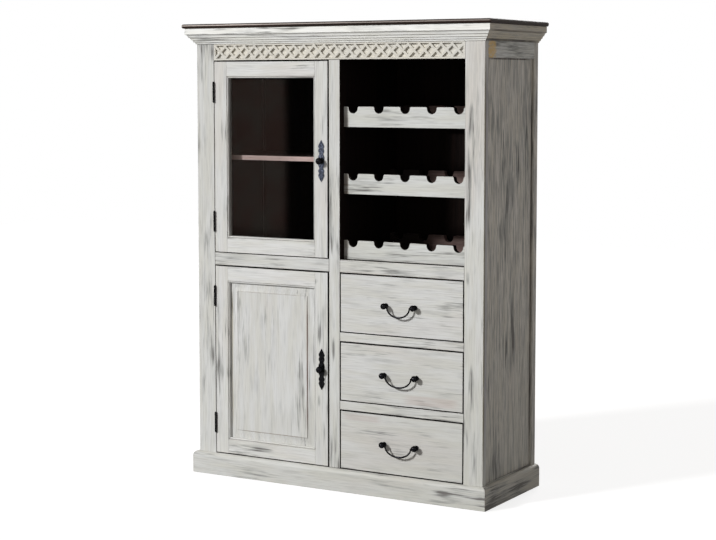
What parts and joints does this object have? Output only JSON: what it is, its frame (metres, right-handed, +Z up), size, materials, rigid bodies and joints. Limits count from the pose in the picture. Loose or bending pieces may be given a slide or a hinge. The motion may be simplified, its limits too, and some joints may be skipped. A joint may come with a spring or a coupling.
{
  "type": "wine cabinet",
  "caption": "Free-standing wine cabinet with a glazed door over a panelled door, notched bottle racks over drawers, a carved lattice frieze and a moulded top.",
  "frame": {"origin": "on the floor under the middle of the bounding box, which is the top board's outline", "axes": "+Z up, the front looks along -Y, the doors are on the -X side and the racks and drawers on the +X side"},
  "size_m": [1.132, 0.42, 1.5],
  "materials": {
    "white_paint": "matt white paint over wood, rubbed through to grey-black along the grain",
    "ivory_paint": "matt ivory paint over carved wood",
    "dark_stain": "dark brown stain, satin",
    "inner_stain": "very dark brown stain, matt",
    "bare_wood": "brown waxed wood, matt",
    "black_iron": "black lacquered iron, semi-gloss",
    "clear_glass": "clear flat glass"
  },
  "bodies": {
    "carcass": {"top_panel": "dark_stain", "cornice": "white_paint", "plinth_front": "white_paint", "plinth_left": "white_paint", "plinth_right": "white_paint", "front_post_left": "white_paint", "front_post_right": "white_paint", "back_post_left": "white_paint", "back_post_right": "white_paint", "side_rail_left": "white_paint", "side_rail_right": "white_paint", "side_panel_left": "white_paint", "side_panel_right": "white_paint", "frieze_rail": "ivory_paint", "center_post": "white_paint", "mid_rail": "white_paint", "bottom_board": "inner_stain", "partition": "inner_stain", "mid_board": "inner_stain", "shelf": "bare_wood", "back_panel": "inner_stain", "drawer_divider_1": "white_paint", "drawer_divider_2": "white_paint", "rack_1": "white_paint", "rack_2": "white_paint", "rack_3": "white_paint"},
    "upper_door": {"upper_door_hinge_stile": "white_paint", "upper_door_lock_stile": "white_paint", "upper_door_bottom_rail": "white_paint", "upper_door_top_rail": "white_paint", "upper_door_glass": "clear_glass", "upper_door_escutcheon": "black_iron", "upper_door_knob": "black_iron", "upper_door_lower_hinge": "black_iron", "upper_door_upper_hinge": "black_iron"},
    "lower_door": {"lower_door_hinge_stile": "white_paint", "lower_door_lock_stile": "white_paint", "lower_door_bottom_rail": "white_paint", "lower_door_top_rail": "white_paint", "lower_door_panel": "white_paint", "lower_door_escutcheon": "black_iron", "lower_door_knob": "black_iron", "lower_door_lower_hinge": "black_iron", "lower_door_upper_hinge": "black_iron"},
    "drawer_1": {"drawer_front_1": "white_paint", "drawer_box_1": "bare_wood", "handle_post_left_1": "black_iron", "handle_post_right_1": "black_iron"},
    "drawer_2": {"drawer_front_2": "white_paint", "drawer_box_2": "bare_wood", "handle_post_left_2": "black_iron", "handle_post_right_2": "black_iron"},
    "drawer_3": {"drawer_front_3": "white_paint", "drawer_box_3": "bare_wood", "handle_post_left_3": "black_iron", "handle_post_right_3": "black_iron"},
    "handle_1": {"bail_1": "black_iron"},
    "handle_2": {"bail_2": "black_iron"},
    "handle_3": {"bail_3": "black_iron"}
  },
  "joints": [
    {"name": "upper_door_hinge", "type": "hinge", "parent": "carcass", "child": "upper_door", "pos_m": [-0.462, -0.1783, 1.06375], "axis": [0, 0, -1], "range_deg": [0, 115]},
    {"name": "lower_door_hinge", "type": "hinge", "parent": "carcass", "child": "lower_door", "pos_m": [-0.462, -0.1783, 0.38875], "axis": [0, 0, -1], "range_deg": [0, 115]},
    {"name": "drawer_1_slide", "type": "slide", "parent": "carcass", "child": "drawer_1", "axis": [0, -1, 0], "range_m": [0, 0.27]},
    {"name": "drawer_2_slide", "type": "slide", "parent": "carcass", "child": "drawer_2", "axis": [0, -1, 0], "range_m": [0, 0.27]},
    {"name": "drawer_3_slide", "type": "slide", "parent": "carcass", "child": "drawer_3", "axis": [0, -1, 0], "range_m": [0, 0.27]},
    {"name": "bail_1_swing", "type": "hinge", "parent": "drawer_1", "child": "handle_1", "pos_m": [0.2415, -0.1913, 0.60983], "axis": [-1, 0, 0], "range_deg": [0, 95]},
    {"name": "bail_2_swing", "type": "hinge", "parent": "drawer_2", "child": "handle_2", "pos_m": [0.2415, -0.1913, 0.389], "axis": [-1, 0, 0], "range_deg": [0, 95]},
    {"name": "bail_3_swing", "type": "hinge", "parent": "drawer_3", "child": "handle_3", "pos_m": [0.2415, -0.1913, 0.16817], "axis": [-1, 0, 0], "range_deg": [0, 95]}
  ]
}
